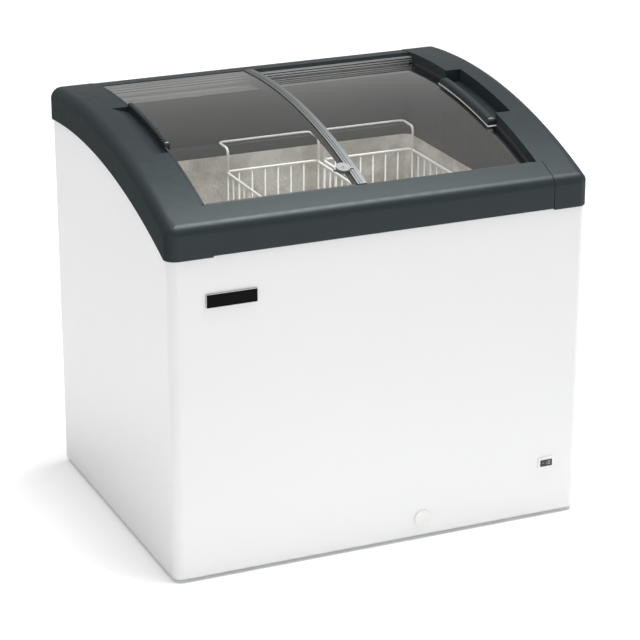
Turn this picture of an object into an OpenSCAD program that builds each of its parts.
// Curved-glass sliding-lid display chest freezer, free-standing.
// Millimetres. X is the width, the front looks along -Y, Z is up, the floor is Z = 0.

/* [Cabinet] */
// Width over the painted side panels
body_w = 1000; // [980:10:1100]
// Depth over the painted front and the back panel
body_d = 760; // [740:2:780]
// Height of the four fixed feet
foot_h = 10; // [6:1:14]
// Outside radius of the two front vertical corners
corner_r = 22; // [20:1:32]
// Thickness of the sheet steel
sheet = 1; // [0.8:0.1:1.2]

/* [Canopy curve] */
// Highest point of the curved top
top_z = 948; // [940:2:960]
// Radius of the curved top
arc_r = 1550; // [1500:10:1700]
// How far the highest point stands behind the centre
arc_y = 235; // [215:5:245]
// Depth of the grey band below the curve on the sides
band = 75; // [68:1:80]

/* [End caps and rails] */
// How far caps and rails stand out from the panels
over = 4; // [3:0.5:5]
// Thickness of the mouldings
skin = 4; // [3:0.5:5]
// Rounding of the caps' outer top edge
edge_r = 26; // [22:1:30]
// Rounding of the bend between the front face and the top
bend_r = 26; // [20:1:28]
// Underside of the front rail
rail_z = 752; // [748:1:756]
// Inner edge of the left cap from the centre
cap_in_l = 400; // [398:1:406]
// Inner edge of the right cap from the centre
cap_in_r = 402; // [400:1:408]
// Right end of the front rail from the centre
rail_end = 416; // [412:1:424]
// Inner lip of the front rail, in front of the centre
lip_y = 320; // [314:1:326]
// Inner edge of the rear rail, behind the centre
rear_in = 342; // [340:1:346]
// Width of the finger pockets cut in the caps
pocket_w = 38; // [30:1:40]

/* [Tub] */
// Top of the liner
rim_z = 748; // [744:1:750]
// Half of the tub's width
tub_w = 390; // [388:1:394]
// Front wall of the tub, in front of the centre
tub_front = 300; // [294:1:302]
// Rear wall of the tub, behind the centre
tub_rear = 310; // [300:1:312]
// Height of the tub floor
floor_z = 130; // [120:2:150]
// Left side of the step over the compressor
step_x = 170; // [150:5:190]
// Height of the step
step_z = 360; // [340:5:380]
// Height of the ledge frame that carries the baskets
ledge_h = 24; // [20:1:26]

/* [Glass lids] */
// Thickness of the curved glass
glass_t = 4; // [4:0.5:5]
// Upper glass below the curve
upper_lvl = 2; // [1.5:0.5:2.5]
// Lower glass below the curve
lower_lvl = 26; // [26:0.5:28]
// Right edge of the left lid from the centre
mullion_x = -14; // [-24:2:-10]
// How far the lids overlap
lap = 14; // [12:1:18]
// Length of the two handles
handle_l = 280; // [240:10:290]

/* [Baskets] */
// Width of one basket
basket_w = 242; // [230:2:244]
// Depth of a basket below its rim
basket_h = 225; // [200:5:240]
// Rim below the top of the liner
basket_drop = 33; // [26:1:36]
// Rim wire
rim_wire = 6.5; // [5:0.5:7]
// Mesh wire
mesh_wire = 4; // [3:0.5:4.5]

/* [Front fittings] */
// Width of the maker's plate
badge_w = 119; // [100:1:130]
// Height of the maker's plate
badge_h = 32; // [26:1:36]
// Diameter of the drain cap
drain_d = 40; // [34:1:44]

/* [Hidden] */
hw = body_w / 2;
hd = body_d / 2;
arc_z = top_z - arc_r;
bend_y = bend_r - hd - over;
bend_z = arc_z + sqrt(pow(arc_r - bend_r, 2) - pow(bend_y - arc_y, 2));
big = 256;
cap_foot = rail_z - 3;
liner_t = 1.5;
fillet_r = 22;
foam_front = tub_front + liner_t;
foam_rear = tub_rear + liner_t;
rear_drop = 1;
ledge_z = rim_z + ledge_h;
shelf_lvl = 44;
sheet_lvl = band - 20;
run_gap = 0.5;
seam = 1.6;
runner_t = 3.5;
track_lvl = upper_lvl + glass_t + runner_t + run_gap;
guide_in = 10;
glass_gap = 3;
step_in = 16;
bay_x = step_x + 65;
bay_z = step_z - 60;
pan_top = foot_h + 2 * sheet;
drain_x = 101;
drain_z = foot_h + 41;
drain_y = -230;
tube_out = 11;
tube_in = 8;
disp_x = 417;
disp_z = 134;
badge_x = -359;
badge_z = rail_z - 101;
fan_x = 360;
fan_z = foot_h + 120;
comp_x = 367;
comp_y = 170;
lock_x = mullion_x - 34;
lock_y = -262;
pocket_f = -118;
pocket_b = 140;
deep_l = 13;
deep_r = 30;
rear_rod = 331;
front_rod = 312;
post_y = 285;
handle_y = 12;
weld_gap = 0.05;
wire_in = 12;
side_wires = 17;
end_wires = 6;
basket_x = -110;
basket_gap = 10;
groove = 3;
foot_r = 20;
foot_inset = 90;
lens_w = 31;
lens_h = 17;
bezel_rim = 5;
comp_r = 75;
comp_h = 104;
mount_h = 12;
comp_base = 4;
cond_w = 108;
cond_front = -228;
cond_back = -202;
hot_r = 3.5;
cold_r = 4;
fan_r = 98;
frame_w = 104;
shroud_y = -190;
bracket_y = -160;
bracket_t = 4;
shaft_r = 3;
hub_y = -176;
hub_r = 20;
coil_t = 8;
gland_z = 262;
lead_r = 4.5;
mullion_w = 22;
mullion_lip = 4;
trim_t = 1.8;
lock_r = 16;
plug_r = 6;
stem_r = 7.9;
grille_t = 3;
comp_z = pan_top + mount_h + comp_base;
hot_x = fan_x + 115;
motor_y = bracket_y + bracket_t;

// ---------- shapes shared by several pieces ----------

// Height of a level below the curve, at a distance along Y
function level_z(y, down) =
    arc_z + sqrt(pow(arc_r - down, 2) - pow(y - arc_y, 2));

// A Y-Z section drawn out along X
module along_x(x0, x1) {
    translate([x0, 0, 0])
        rotate([90, 0, 90])
            linear_extrude(height = x1 - x0)
                children();
}

// An X-Z section drawn out along Y
module along_y(y0, y1) {
    translate([0, y1, 0])
        rotate([90, 0, 0])
            linear_extrude(height = y1 - y0)
                children();
}

// A radius-X section turned about the axis of the curve
module around_arc() {
    translate([0, arc_y, arc_z])
        rotate([0, 90, 0])
            rotate_extrude(angle = 60, start = 150, $fn = big)
                children();
}

// Stands its children on the curve, Z outward
module on_arc(x, y) {
    translate([x, arc_y, arc_z])
        rotate([asin((arc_y - y) / arc_r), 0, 0])
            translate([0, 0, arc_r])
                children();
}

// Y-Z disc under the curve
module arch(down) {
    translate([arc_y, arc_z])
        circle(r = arc_r - down, $fn = big);
}

// Y-Z layer between two levels
module layer(hi, lo, y0, y1) {
    intersection() {
        difference() {
            arch(hi);
            arch(lo);
        }
        translate([y0, foot_h])
            square([y1 - y0, top_z]);
    }
}

// Plan with rounded front corners
module plan(w, d, r) {
    translate([-w, r - d])
        square([2 * w, 2 * d - r]);
    translate([r - w, -d])
        square([2 * (w - r), 2 * r]);
    for (s = [-1, 1])
        translate([s * (w - r), r - d])
            circle(r = r, $fn = 64);
}

// Y-Z wedge in front of the bend between the front face and the top
module bend_wedge() {
    u = [bend_y - arc_y, bend_z - arc_z] / norm([bend_y - arc_y, bend_z - arc_z]);
    translate([bend_y, bend_z])
        polygon([[0, 0], 3 * bend_r * u, 3 * bend_r * [-1, 1], [-3 * bend_r, 0]]);
}

// Y-Z outline of the canopy, set in by g, from a lower height up
module canopy(g, z0) {
    difference() {
        intersection() {
            arch(g);
            translate([g - hd - over, z0])
                square([2 * (hd + over - g), top_z]);
        }
        bend_wedge();
    }
    translate([bend_y, bend_z])
        circle(r = bend_r - g, $fn = 96);
}

// Radius-X section of a cap, rounded on the outside
module cap_section(inner, g, down) {
    xo = hw + over - g;
    r = edge_r - g;
    ro = arc_r - g;
    translate([arc_r - down, inner])
        square([down - g, xo - r - inner]);
    translate([arc_r - down, inner])
        square([down - g - r, xo - inner]);
    translate([ro - r, xo - r])
        circle(r = r, $fn = 48);
}

// A cap's solid form, set in by g
module cap_form(inner, g, down) {
    difference() {
        intersection() {
            around_arc()
                cap_section(inner, g, down);
            along_x(inner - 1, hw + over + 1)
                canopy(g, g > 0 ? rail_z - 120 : cap_foot);
            linear_extrude(height = top_z + 10)
                plan(hw + over - g, hd + over - g, corner_r + over - g);
        }
        if (g == 0)
            cap_corner();
    }
}

// What the round front corner of a cap takes away
module cap_corner() {
    difference() {
        along_x(hw + over - bend_r, hw + over + 1)
            bend_wedge();
        translate([hw + over - bend_r, bend_y, bend_z])
            sphere(r = bend_r + 0.4, $fn = 96);
    }
}

// Finger pocket beside a handle; slope is how much shallower it is at its outer side
module pocket(inner, deep, slope, g) {
    intersection() {
        along_x(inner - 1, inner + pocket_w + g)
            layer(-2, deep + g, pocket_f - g, pocket_b + g);
        around_arc()
            polygon([[arc_r - deep - g, inner - 1], [arc_r - deep - g, inner],
                     [arc_r - deep + slope - g, inner + pocket_w], [arc_r - deep + slope - g, hw],
                     [arc_r + 2, hw], [arc_r + 2, inner - 1]]);
    }
}

// Upright wall of a cap at its inner side, between two distances along Y
module cap_wall(inner, y0, y1) {
    along_x(inner, inner + skin)
        intersection() {
            canopy(skin, rim_z);
            translate([y0, rim_z])
                square([y1 - y0, top_z]);
        }
}

// End cap, drawn on the right; the rail passes in front of it as far as front_in
module end_cap(inner, front_in, deep, slope) {
    difference() {
        union() {
            difference() {
                cap_form(inner, 0, band);
                cap_form(inner + skin, skin, band + 1);
                block([inner - 1, -big * 2, 0], [front_in, -lip_y, 2 * top_z]);
            }
            cap_wall(inner, -lip_y, hd - sheet);
            cap_wall(front_in, sheet - hd, -lip_y);
            intersection() {
                pocket(inner, deep, slope, 3);
                along_x(inner, hw)
                    arch(skin);
            }
        }
        pocket(inner, deep, slope, 0);
        along_x(inner - 1, front_in + skin)
            intersection() {
                arch(sheet_lvl);
                for (y = [-hd, hd - sheet])
                    translate([y, 0])
                        square([sheet, top_z]);
            }
    }
}

// Inside of the tub, grown by g
module tub(g) {
    intersection() {
        translate([0, 0, floor_z - g])
            linear_extrude(height = rim_z - floor_z + 2 * g + 1)
                tub_plan(g);
        along_y(-tub_front - g - 1, tub_rear + g + 1)
            polygon([[-tub_w - g, rim_z + g + 1], [-tub_w - g, floor_z - g],
                     [step_x + g, floor_z - g], [step_x + g, step_z - g],
                     [tub_w + g, step_z - g], [tub_w + g, rim_z + g + 1]]);
    }
}

// Plan of the tub with rounded corners
module tub_plan(g) {
    r = fillet_r + g;
    translate([-tub_w - g + r, -tub_front - g])
        square([2 * (tub_w + g - r), tub_front + tub_rear + 2 * g]);
    translate([-tub_w - g, -tub_front - g + r])
        square([2 * (tub_w + g), tub_front + tub_rear + 2 * (g - r)]);
    for (s = [-1, 1], y = [-tub_front - g + r, tub_rear + g - r])
        translate([s * (tub_w + g - r), y])
            circle(r = r, $fn = 48);
}

// Cylinder along Y
module rod_y(x, z, y0, y1, r) {
    translate([x, y1, z])
        rotate([90, 0, 0])
            cylinder(h = y1 - y0, r = r, $fn = 32);
}

// Cylinder along X
module rod_x(y, z, x0, x1, r) {
    translate([x0, y, z])
        rotate([0, 90, 0])
            cylinder(h = x1 - x0, r = r, $fn = 32);
}

// Cylinder along Z
module rod_z(x, y, z0, z1, r) {
    translate([x, y, z0])
        cylinder(h = z1 - z0, r = r, $fn = 32);
}

// Box between two corners
module block(a, b) {
    translate(a)
        cube(b - a);
}

// ---------- cabinet ----------

module outer_wrap() {
    color("white")
        difference() {
            intersection() {
                translate([0, 0, foot_h])
                    linear_extrude(height = top_z)
                        difference() {
                            plan(hw, hd, corner_r);
                            translate([0, sheet])
                                plan(hw - sheet, hd, corner_r - sheet);
                        }
                along_x(-hw - 1, hw + 1)
                    arch(sheet_lvl);
            }
            rod_y(drain_x, drain_z, -hd - 1, -hd + 2, tube_out + 0.5);
            block([disp_x - lens_w / 2 - 1.5, -hd - 1, disp_z - lens_h / 2 - 1.5],
                  [disp_x + lens_w / 2 + 1.5, -hd + 2, disp_z + lens_h / 2 + 1.5]);
            block([hw - 2, 70, foot_h + 40], [hw + 1, 270, foot_h + 180]);
        }
}

module back_panel() {
    color("lightgrey")
        difference() {
            block([-hw + sheet, hd - sheet, foot_h], [hw - sheet, hd, level_z(hd, sheet_lvl)]);
            block([bay_x + 15, hd - 2, foot_h + 30], [hw - 30, hd + 1, foot_h + 230]);
            rod_y(bay_x + 30, foot_h + gland_z, hd - 2, hd + 1, 8);
            screw_spots()
                rod_y(0, 0, hd - 2, hd + 1, 2.1);
        }
}

// The eight fixing points of the back panel
module screw_spots() {
    for (s = [-1, 1], k = [0:3])
        translate([s * (hw - 12), 0, foot_h + 50 + 240 * k])
            children();
}

module panel_screws() {
    color("silver")
        screw_spots() {
            rod_y(0, 0, hd, hd + 2, 4.5);
            rod_y(0, 0, hd - sheet, hd + 1, 2);
        }
}

module base_pan() {
    color("silver")
        translate([0, 0, foot_h])
            linear_extrude(height = 2 * sheet)
                plan(hw - sheet, hd - sheet, corner_r - sheet);
}

module feet() {
    color("black")
        for (x = [-1, 1], y = [-1, 1])
            translate([x * (hw - foot_inset), y * (hd - foot_inset), 0])
                cylinder(h = foot_h, r = foot_r, $fn = 32);
}

// The foam between the sheets and the liner, in a box between two corners
module foam(a, b) {
    color("khaki")
        difference() {
            intersection() {
                translate([0, 0, pan_top])
                    linear_extrude(height = top_z)
                        plan(hw - sheet, hd - sheet, corner_r - sheet);
                along_x(-hw, hw)
                    canopy(skin, foot_h);
                block(a, b);
            }
            block([-cap_in_l - skin, -lip_y - skin, rim_z],
                  [cap_in_r + skin, rear_in + skin, top_z + 1]);
            along_x(-cap_in_l, cap_in_r)
                difference() {
                    translate([rear_in, rim_z])
                        square([hd - rear_in, 300]);
                    arch(rear_drop + skin);
                }
            block([-cap_in_l - skin, -hd, rim_z], [-cap_in_l, hd, top_z + 1]);
            block([cap_in_r, -lip_y - skin, rim_z], [cap_in_r + skin, hd, top_z + 1]);
            block([cap_in_r, -lip_y - skin, rim_z], [rail_end + skin, -lip_y, top_z + 1]);
            block([rail_end, -hd, rim_z], [rail_end + skin, -lip_y, top_z + 1]);
            tub(liner_t);
            block([bay_x, -hd, foot_h], [hw, hd, bay_z]);
            mirror([1, 0, 0])
                pocket(cap_in_l, deep_l, deep_l, 3);
            pocket(cap_in_r, deep_r, 0, 3);
            foam_edge_relief();
            evaporator_form();
            rod_z(drain_x, drain_y, drain_z, floor_z, tube_out);
            rod_y(drain_x, drain_z, -hd, drain_y, tube_out);
            translate([drain_x, drain_y, drain_z])
                sphere(r = tube_out, $fn = 32);
        }
}

module insulation_front() {
    foam([-hw, -hd, foot_h], [hw, -foam_front, top_z]);
}

module insulation_rear() {
    foam([-hw, foam_rear, foot_h], [hw, hd, top_z]);
}

module insulation_left() {
    foam([-hw, -foam_front, floor_z - liner_t], [fillet_r - tub_w, foam_rear, top_z]);
}

module insulation_right() {
    foam([tub_w - fillet_r, -foam_front, step_z - liner_t], [hw, foam_rear, top_z]);
}

module insulation_floor() {
    foam([-hw, -foam_front, foot_h], [step_x + liner_t, foam_rear, floor_z - liner_t]);
    foam([step_x + liner_t, -foam_front, foot_h], [hw, foam_rear, step_z - liner_t]);
}

// Room for the rounded outside of the caps
module foam_edge_relief() {
    for (s = [0, 1])
        mirror([s, 0, 0])
            difference() {
                block([hw - edge_r, -hd - 1, cap_foot], [hw + 1, hd + 1, top_z]);
                around_arc()
                    translate([arc_r - 260, hw - edge_r - 1])
                        cap_core();
            }
}

// What stays of the foam under a cap's rounded edge
module cap_core() {
    r = edge_r - skin;
    square([260 - skin - r, edge_r + 4]);
    square([260 - skin, 1 + over]);
    translate([260 - skin - r, 1 + over])
        circle(r = r, $fn = 48);
}

module inner_liner() {
    color("gainsboro")
        difference() {
            tub(liner_t);
            tub(0);
            block([-hw, -hd, rim_z], [hw, hd, rim_z + 10]);
            rod_z(drain_x, drain_y, floor_z - 5, floor_z + 1, tube_in);
        }
}

module tub_rim() {
    color("dimgrey")
        translate([0, 0, rim_z])
            linear_extrude(height = ledge_h)
                difference() {
                    translate([-cap_in_l, -lip_y])
                        square([cap_in_l + cap_in_r, lip_y + rear_in]);
                    tub_plan(0);
                }
}

// Inner side wall between the ledge and the glass tracks
module side_arch(x0, x1) {
    color("dimgrey")
        along_x(x0, x1)
            intersection() {
                arch(shelf_lvl);
                translate([-lip_y, ledge_z])
                    square([lip_y + rear_in, 300]);
            }
}

module side_arch_left() {
    side_arch(-cap_in_l, -tub_w);
}

module side_arch_right() {
    side_arch(tub_w, cap_in_r);
}

// Upright plate between the ledge and a glass track
module riser(y0, y1) {
    color("dimgrey")
        along_x(-tub_w, tub_w)
            intersection() {
                arch(shelf_lvl);
                translate([y0, ledge_z])
                    square([y1 - y0, 300]);
            }
}

module front_riser() {
    riser(-lip_y, -lip_y + 3);
}

module rear_riser() {
    riser(rear_in - 3, rear_in);
}

module end_cap_left() {
    color("slategrey")
        mirror([1, 0, 0])
            end_cap(cap_in_l, cap_in_l, deep_l, deep_l);
}

module end_cap_right() {
    color("slategrey")
        end_cap(cap_in_r, rail_end, deep_r, 0);
}

// Y-Z section of the front rail, its outside set in by g
module front_rail_section(g) {
    difference() {
        union() {
            intersection() {
                canopy(g, rail_z);
                translate([-hd - over, rail_z])
                    square([hd + over - lip_y, 200]);
            }
            translate([-lip_y - skin, rim_z])
                square([skin, 40]);
        }
        intersection() {
            canopy(skin, rim_z - 1);
            translate([-hd - over, rim_z - 1])
                square([hd + over - lip_y - skin, 200]);
        }
    }
}

module front_rail() {
    color("slategrey") {
        along_x(-cap_in_l, rail_end - seam)
            front_rail_section(0);
        along_x(-cap_in_l, rail_end)
            front_rail_section(2.5);
    }
}

module rear_rail() {
    color("slategrey")
        along_x(-cap_in_l, cap_in_r)
            difference() {
                intersection() {
                    arch(rear_drop);
                    union() {
                        translate([rear_in, rim_z])
                            square([skin, 300]);
                        translate([rear_in, level_z(hd, band)])
                            square([hd + over - rear_in, 200]);
                    }
                }
                intersection() {
                    arch(rear_drop + skin);
                    translate([rear_in + skin, rim_z])
                        square([hd - rear_in - skin, 300]);
                }
            }
}

// Y-Z section of the seal grooves in a track's upper step, set in by g
module track_grooves(s, wall_y, g) {
    y0 = min(s * (wall_y - step_in), s * (wall_y - step_in + groove));
    for (d = [2, 8])
        layer(track_lvl + d + g, track_lvl + d + 2.6 - g, y0 - 0.1 + 2 * g, y0 + groove + 0.1 - 2 * g);
}

// Two-step track section: s is 1 at the rear and -1 at the front
module track(s, wall_y) {
    w0 = min(s * wall_y, s * (wall_y - 2));
    u0 = min(s * wall_y, s * (wall_y - step_in));
    l0 = min(s * wall_y, s * (wall_y - 2 * step_in));
    layer(track_lvl, shelf_lvl, w0, w0 + 2);
    difference() {
        layer(track_lvl, lower_lvl - 3, u0, u0 + step_in);
        track_grooves(s, wall_y, 0);
    }
    layer(lower_lvl + glass_t + runner_t + run_gap, shelf_lvl, l0, l0 + 2 * step_in);
}

module front_glass_track() {
    color("silver")
        along_x(-cap_in_l, cap_in_r)
            track(-1, lip_y);
}

module rear_glass_track() {
    color("silver")
        along_x(-cap_in_l, cap_in_r)
            track(1, rear_in);
}

module edge_seal() {
    color("black") {
        along_x(-cap_in_l, cap_in_r)
            track_grooves(-1, lip_y, 0.1);
        along_x(-cap_in_l, cap_in_r)
            track_grooves(1, rear_in, 0.1);
        along_x(cap_in_r - 1.4, cap_in_r)
            layer(lower_lvl - 4, shelf_lvl - 12, step_in * 2 - lip_y, rear_in - step_in * 2);
        along_x(-cap_in_l, -cap_in_l + 1.4)
            layer(lower_lvl - 4, shelf_lvl - 12, step_in * 2 - lip_y, rear_in - step_in * 2);
    }
}

// ---------- front fittings ----------

// Rectangle with rounded corners
module round_rect(w, h, r) {
    square([w - 2 * r, h], center = true);
    square([w, h - 2 * r], center = true);
    for (x = [-1, 1], y = [-1, 1])
        translate([x * (w / 2 - r), y * (h / 2 - r)])
            circle(r = r, $fn = 32);
}

module badge_plate() {
    color("black")
        translate([badge_x, 0, badge_z])
            along_y(-hd - 2.4, -hd)
                round_rect(badge_w, badge_h, 3);
}

module display_bezel() {
    color("whitesmoke")
        translate([disp_x, 0, disp_z])
            difference() {
                union() {
                    along_y(-hd - 3.2, -hd)
                        round_rect(lens_w + 2 * bezel_rim, lens_h + 2 * bezel_rim, 3);
                    along_y(-hd, -hd + sheet)
                        square([lens_w + 2, lens_h + 2], center = true);
                }
                along_y(-hd - 4, -hd + sheet + 1)
                    square([lens_w, lens_h], center = true);
            }
}

module display_lens() {
    color("black")
        translate([disp_x, 0, disp_z])
            along_y(-hd - 2.6, -hd + sheet)
                square([lens_w, lens_h], center = true);
}

module thermostat_body() {
    color("dimgrey")
        block([disp_x - 26, -hd + sheet, disp_z - 23], [disp_x + 26, -hd + 36, disp_z + 23]);
}

module drain_tube() {
    color("whitesmoke")
        difference() {
            union() {
                rod_z(drain_x, drain_y, drain_z, floor_z - liner_t, tube_out);
                rod_y(drain_x, drain_z, -hd - 2, drain_y, tube_out);
                rod_y(drain_x, drain_z, -hd - 2, -hd, tube_out + 4);
                translate([drain_x, drain_y, drain_z])
                    sphere(r = tube_out, $fn = 32);
            }
            rod_z(drain_x, drain_y, drain_z, floor_z, tube_in);
            rod_y(drain_x, drain_z, -hd - 3, drain_y, tube_in);
            translate([drain_x, drain_y, drain_z])
                sphere(r = tube_in, $fn = 32);
        }
}

module drain_cap() {
    color("whitesmoke")
        difference() {
            union() {
                rod_y(drain_x, drain_z, 1.4 - hd - over, -hd - 0.4, drain_d / 2);
                translate([drain_x, 1.4 - hd - over, drain_z])
                    rotate([90, 0, 0])
                        cylinder(h = 1.4, r1 = drain_d / 2, r2 = drain_d / 2 - 1.6, $fn = 32);
            }
            rod_y(drain_x, drain_z, -hd - 2.4, -hd + 1, tube_out + 4.5);
        }
    color("whitesmoke")
        difference() {
            rod_y(drain_x, drain_z, -hd - 3, -hd + 16, stem_r);
            rod_y(drain_x, drain_z, -hd - 1, -hd + 17, tube_in - 2);
        }
}

module floor_plug() {
    color("dimgrey") {
        rod_z(drain_x, drain_y, floor_z, floor_z + 3, 13);
        rod_z(drain_x, drain_y, floor_z - 14, floor_z + 1, stem_r);
        rod_z(drain_x, drain_y, floor_z + 2, floor_z + 9, 3);
    }
}

// ---------- cooling parts ----------

module compressor() {
    color("black") {
        rod_z(comp_x, comp_y, comp_z, comp_z + comp_h, comp_r);
        translate([comp_x, comp_y, comp_z + comp_h])
            sphere(r = comp_r, $fn = 48);
        block([comp_x - 100, comp_y - 62, comp_z - comp_base], [comp_x + 100, comp_y + 62, comp_z]);
    }
}

module compressor_mounts() {
    color("dimgrey")
        for (x = [-1, 1], y = [-1, 1])
            translate([comp_x + x * 86, comp_y + y * 50, pan_top])
                cylinder(h = mount_h, r = 11, $fn = 32);
}

module condenser() {
    color("silver") {
        for (k = [0:20])
            block([fan_x - 100 + 10 * k, -240, pan_top],
                  [fan_x - 99 + 10 * k, -190, pan_top + 220]);
        for (k = [0:4], y = [cond_front, cond_back])
            rod_x(y, pan_top + 30 + 40 * k, fan_x - cond_w, fan_x + cond_w, cold_r);
        for (s = [-1, 1])
            block([fan_x + s * 106 - 2, -236, pan_top], [fan_x + s * 106 + 2, -194, pan_top + 220]);
    }
}

module discharge_pipe() {
    color("sienna") {
        rod_y(hot_x, pan_top + 30, cond_back, comp_y, hot_r);
        rod_x(comp_y, pan_top + 30, comp_x + comp_r, hot_x, hot_r);
        rod_x(cond_back, pan_top + 30, fan_x + cond_w, hot_x, hot_r);
        for (y = [cond_back, comp_y])
            translate([hot_x, y, pan_top + 30])
                sphere(r = hot_r, $fn = 24);
    }
}

module suction_pipe() {
    color("sienna")
        rod_x(comp_y, pan_top + 90, bay_x, comp_x - comp_r, cold_r);
}

module filter_drier() {
    color("sienna") {
        rod_z(bay_x + 14, 20, pan_top + 60, pan_top + 170, 11);
        rod_z(bay_x + 14, 20, pan_top + 40, pan_top + 190, 3);
        block([bay_x, 14, pan_top + 100], [bay_x + 10, 26, pan_top + 120]);
    }
}

module fan_shroud() {
    color("dimgrey")
        difference() {
            block([fan_x - frame_w, shroud_y, pan_top], [fan_x + frame_w, bracket_y, pan_top + 222]);
            rod_y(fan_x, fan_z, shroud_y - 1, bracket_y + 1, fan_r);
        }
}

module fan_bracket() {
    color("dimgrey")
        difference() {
            union() {
                block([fan_x - frame_w, bracket_y, fan_z - 8], [fan_x + frame_w, motor_y, fan_z + 8]);
                block([fan_x - 8, bracket_y, pan_top], [fan_x + 8, motor_y, pan_top + 222]);
                rod_y(fan_x, fan_z, bracket_y, motor_y, 30);
            }
            rod_y(fan_x, fan_z, bracket_y - 1, motor_y + 1, 2 * shaft_r);
        }
}

module fan_motor() {
    color("dimgrey")
        difference() {
            rod_y(fan_x, fan_z, motor_y, motor_y + 50, 36);
            rod_y(fan_x, fan_z, motor_y - 1, motor_y + 16, shaft_r + 0.1);
        }
}

module fan_blade() {
    color("lightgrey") {
        rod_y(fan_x, fan_z, hub_y - 10, hub_y + 10, hub_r);
        rod_y(fan_x, fan_z, hub_y + 8, motor_y + 12, shaft_r);
        for (a = [0:72:288])
            translate([fan_x, hub_y, fan_z])
                rotate([0, a, 0])
                    translate([15, 0, 0])
                        rotate([28, 0, 0])
                            block([0, -1, -17], [75, 1, 17]);
    }
}

// One turn of square tube round the liner, as far as x1 on the right
module coil_turn(x1, z) {
    out = liner_t + coil_t;
    difference() {
        block([-tub_w - out, -tub_front - out, z], [x1 + out, tub_rear + out, z + coil_t]);
        block([-tub_w - liner_t, -foam_front, z - 1], [x1 + liner_t, foam_rear, z + coil_t + 1]);
    }
}

// Square tube wound round the liner
module evaporator_form() {
    for (z = [180, 270])
        coil_turn(step_x, z);
    for (z = [400:80:640])
        coil_turn(tub_w, z);
    block([-tub_w - liner_t - coil_t, -20, 180], [-tub_w - liner_t, -20 + coil_t, 640 + coil_t]);
}

module evaporator() {
    color("sienna")
        evaporator_form();
}

module cable_gland() {
    color("black")
        difference() {
            union() {
                rod_y(bay_x + 30, foot_h + gland_z, hd - 5, hd + over, 7.9);
                rod_y(bay_x + 30, foot_h + gland_z, hd, hd + over, 11);
            }
            rod_y(bay_x + 30, foot_h + gland_z, hd - 6, hd + over + 1, lead_r);
        }
}

module rear_grille() {
    color("dimgrey")
        difference() {
            block([bay_x + 5, hd, foot_h + 20], [hw - 20, hd + grille_t, foot_h + 240]);
            for (k = [0:11])
                block([bay_x + 25, hd - 1, foot_h + 38 + 16 * k],
                      [hw - 40, hd + grille_t + 1, foot_h + 46 + 16 * k]);
        }
}

module side_grille() {
    color("dimgrey")
        difference() {
            block([hw, 60, foot_h + 30], [hw + grille_t, 280, foot_h + 190]);
            for (k = [0:12])
                block([hw - 1, 76 + 15 * k, foot_h + 46], [hw + grille_t + 1, 84 + 15 * k, foot_h + 174]);
        }
}

// ---------- lids ----------

module left_glass() {
    color("lightblue", 0.4)
        along_x(-cap_in_l + 2.5, mullion_x - mullion_lip)
            layer(upper_lvl, upper_lvl + glass_t, glass_gap - lip_y, rear_in - 4);
}

module left_trim() {
    color("slategrey")
        difference() {
            along_x(-cap_in_l + 0.5, -cap_in_l + 6)
                layer(0, upper_lvl + glass_t + trim_t, glass_gap - lip_y, rear_in - 4);
            along_x(-cap_in_l + 2.5, -cap_in_l + 7)
                layer(upper_lvl, upper_lvl + glass_t, glass_gap - lip_y - 1, rear_in);
        }
}

module mullion_trim() {
    color("silver")
        difference() {
            along_x(mullion_x - mullion_w, mullion_x)
                layer(-0.6, upper_lvl + glass_t + trim_t, glass_gap - lip_y, rear_in - 4);
            along_x(mullion_x - mullion_w - 1, mullion_x - mullion_lip)
                layer(upper_lvl, upper_lvl + glass_t, glass_gap - lip_y - 1, rear_in);
            along_x(mullion_x - 18, mullion_x - 16)
                layer(-2, 0.8, -lip_y, rear_in);
            along_x(mullion_x - 12, mullion_x - 10.5)
                layer(-2, 0.8, -lip_y, rear_in);
        }
}

// Handle bar lying along the curve between two levels
module handle_bar(x0, x1, hi, lo, y0, y1, end_r, top_r) {
    intersection() {
        along_x(x0, x1)
            difference() {
                union() {
                    layer(hi, lo, y0 + end_r, y1 - end_r);
                    for (y = [y0 + end_r, y1 - end_r])
                        translate([y, level_z(y, hi + end_r)])
                            circle(r = end_r, $fn = 32);
                }
                arch(lo);
            }
        around_arc() {
            translate([arc_r - lo - 5, x0])
                square([lo - hi + 5 - top_r, x1 - x0]);
            translate([arc_r - hi - top_r - 1, x0 + top_r])
                square([top_r + 1, x1 - x0 - 2 * top_r]);
            for (x = [x0 + top_r, x1 - top_r])
                translate([arc_r - hi - top_r, x])
                    circle(r = top_r, $fn = 32);
        }
    }
}

module left_handle() {
    y0 = handle_y + 34 - handle_l / 2;
    y1 = handle_y - 8 + handle_l / 2;
    color("slategrey") {
        handle_bar(-cap_in_l + 1, -cap_in_l + 14, -9, 0, y0, y1, 8, 5);
        along_x(-cap_in_l + 6, -cap_in_l + 14)
            layer(-1, upper_lvl, y0 + 4, y1 - 4);
    }
}

// Strip under the front and the rear edge of a glass
module runners(x0, x1, y0, y1, lvl) {
    for (y = [y0, y1 - guide_in])
        along_x(x0, x1)
            layer(lvl + glass_t, lvl + glass_t + runner_t, y, y + guide_in);
}

module left_runners() {
    color("dimgrey")
        runners(-cap_in_l + 14, mullion_x - 24, glass_gap - lip_y, rear_in - 4, upper_lvl);
}

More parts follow.
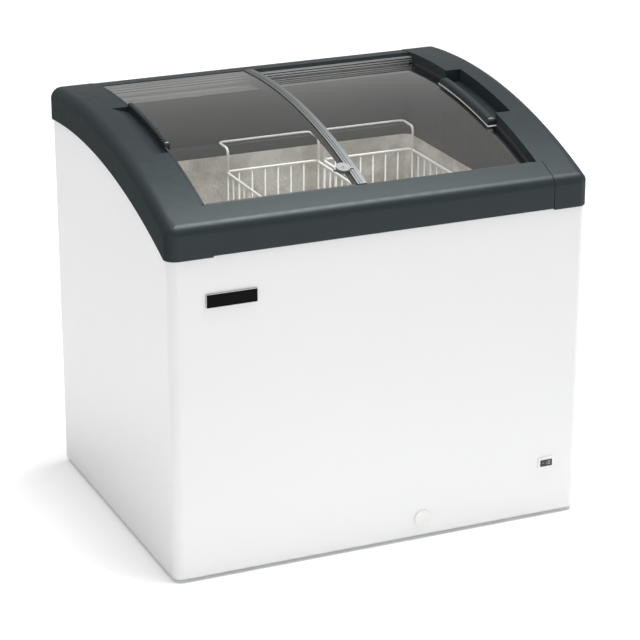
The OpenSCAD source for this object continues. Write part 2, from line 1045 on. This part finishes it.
module lock_housing() {
    color("lightgrey")
        difference() {
            on_arc(lock_x, lock_y)
                union() {
                    translate([0, 0, -upper_lvl])
                        cylinder(h = 9, r = lock_r, $fn = 48);
                    translate([-21, -3, -upper_lvl])
                        cube([46, 6, 5]);
                }
            on_arc(lock_x, lock_y)
                translate([0, 0, 2])
                    cylinder(h = 10, r = plug_r + 0.05, $fn = 32);
            along_x(mullion_x - mullion_w, mullion_x)
                layer(-0.6, 12, -lip_y, rear_in);
            along_x(lock_x - 3 * lock_r, lock_x + 3 * lock_r)
                layer(upper_lvl, 12, -lip_y, rear_in);
        }
}

module lock_plug() {
    color("silver")
        on_arc(lock_x, lock_y)
            difference() {
                translate([0, 0, 2])
                    cylinder(h = 5.6, r = plug_r, $fn = 32);
                translate([-0.7, -3.5, 4])
                    cube([1.4, 7, 5]);
            }
}

module right_glass() {
    color("lightblue", 0.4)
        along_x(mullion_x - lap + 2, cap_in_r - 2)
            layer(lower_lvl, lower_lvl + glass_t, step_in + 2 - lip_y, rear_in - step_in - 4);
}

module right_inner_trim() {
    color("silver")
        difference() {
            union() {
                along_x(mullion_x - lap, mullion_x - lap + 12)
                    layer(lower_lvl - 1.5, lower_lvl + glass_t + 1.5,
                          step_in + 2 - lip_y, rear_in - step_in - 4);
                along_x(mullion_x - lap, mullion_x - lap + 3)
                    layer(upper_lvl + glass_t + 3.5, lower_lvl,
                          step_in + 2 - lip_y, rear_in - step_in - 4);
            }
            along_x(mullion_x - lap + 2, mullion_x - lap + 13)
                layer(lower_lvl, lower_lvl + glass_t, -lip_y, rear_in);
        }
}

module right_handle() {
    color("slategrey")
        handle_bar(cap_in_r - 23, cap_in_r - 3, upper_lvl + glass_t + 3, lower_lvl - 1.5,
                   -handle_l / 2 + 14, handle_l / 2 - 12, 12, 7);
}

module handle_pad() {
    color("gainsboro")
        along_x(cap_in_r - 24.4, cap_in_r - 2)
            layer(lower_lvl - 1.5, lower_lvl, -handle_l / 2 + 12, handle_l / 2 - 10);
}

module right_runners() {
    color("dimgrey")
        runners(mullion_x - lap + 14, cap_in_r - 3,
                step_in + 2 - lip_y, rear_in - step_in - 4, lower_lvl);
}

// ---------- baskets ----------

// Round wire bent at the given points, which lie one along an axis from the last
module wire(points, r) {
    for (i = [0:len(points) - 2]) {
        a = points[i];
        d = points[i + 1] - a;
        translate(a)
            rotate(d[2] != 0 ? [d[2] > 0 ? 0 : 180, 0, 0] : d[1] != 0 ? [d[1] > 0 ? -90 : 90, 0, 0]
                   : [0, d[0] > 0 ? 90 : -90, 0])
                cylinder(h = norm(d), r = r, $fn = 32);
    }
    for (i = [1:len(points) - 2])
        translate(points[i])
            sphere(r = r, $fn = 24);
}

// Wire basket hooked over the front and the rear ledge, left edge at x0
module basket(x0) {
    rim = rim_z - basket_drop;
    r = rim_wire / 2;
    m = mesh_wire / 2;
    low = rim - basket_h;
    top = rim - r - weld_gap;
    x1 = x0 + r;
    x2 = x0 + basket_w - r;
    y1 = -post_y;
    y2 = post_y;
    hook_z = ledge_z + r + 0.5;
    color("whitesmoke") {
        wire([[x1, y1, rim], [x2, y1, rim], [x2, y2, rim], [x1, y2, rim], [x1, y1, rim], [x2, y1, rim]], r);
        for (e = [[y1, -front_rod], [y2, rear_rod]])
            wire([[x1, e[0], rim + r + weld_gap], [x1, e[0], hook_z], [x1, e[1], hook_z],
                  [x2, e[1], hook_z], [x2, e[0], hook_z], [x2, e[0], rim + r + weld_gap]], r);
        for (k = [0:side_wires - 1]) {
            y = y1 + wire_in + k * 2 * (post_y - wire_in) / (side_wires - 1);
            wire([[x1, y, top], [x1, y, low], [x2, y, low], [x2, y, top]], m);
        }
        for (k = [1:end_wires]) {
            x = x1 + k * (x2 - x1) / (end_wires + 1);
            z = low - mesh_wire - weld_gap;
            wire([[x, y1, top], [x, y1, z], [x, y2, z], [x, y2, top]], m);
        }
    }
}

module basket_left() {
    basket(basket_x);
}

module basket_right() {
    basket(basket_x + basket_w + basket_gap);
}

outer_wrap();
back_panel();
base_pan();
feet();
insulation_front();
insulation_rear();
insulation_left();
insulation_right();
insulation_floor();
inner_liner();
tub_rim();
side_arch_left();
side_arch_right();
front_riser();
rear_riser();
end_cap_left();
end_cap_right();
front_rail();
rear_rail();
front_glass_track();
rear_glass_track();
edge_seal();
badge_plate();
display_bezel();
display_lens();
thermostat_body();
drain_tube();
drain_cap();
floor_plug();
compressor();
compressor_mounts();
condenser();
discharge_pipe();
suction_pipe();
filter_drier();
fan_shroud();
fan_motor();
fan_bracket();
fan_blade();
evaporator();
cable_gland();
rear_grille();
side_grille();
panel_screws();
left_glass();
left_trim();
mullion_trim();
left_handle();
left_runners();
lock_housing();
lock_plug();
right_glass();
right_inner_trim();
right_handle();
handle_pad();
right_runners();
basket_left();
basket_right();
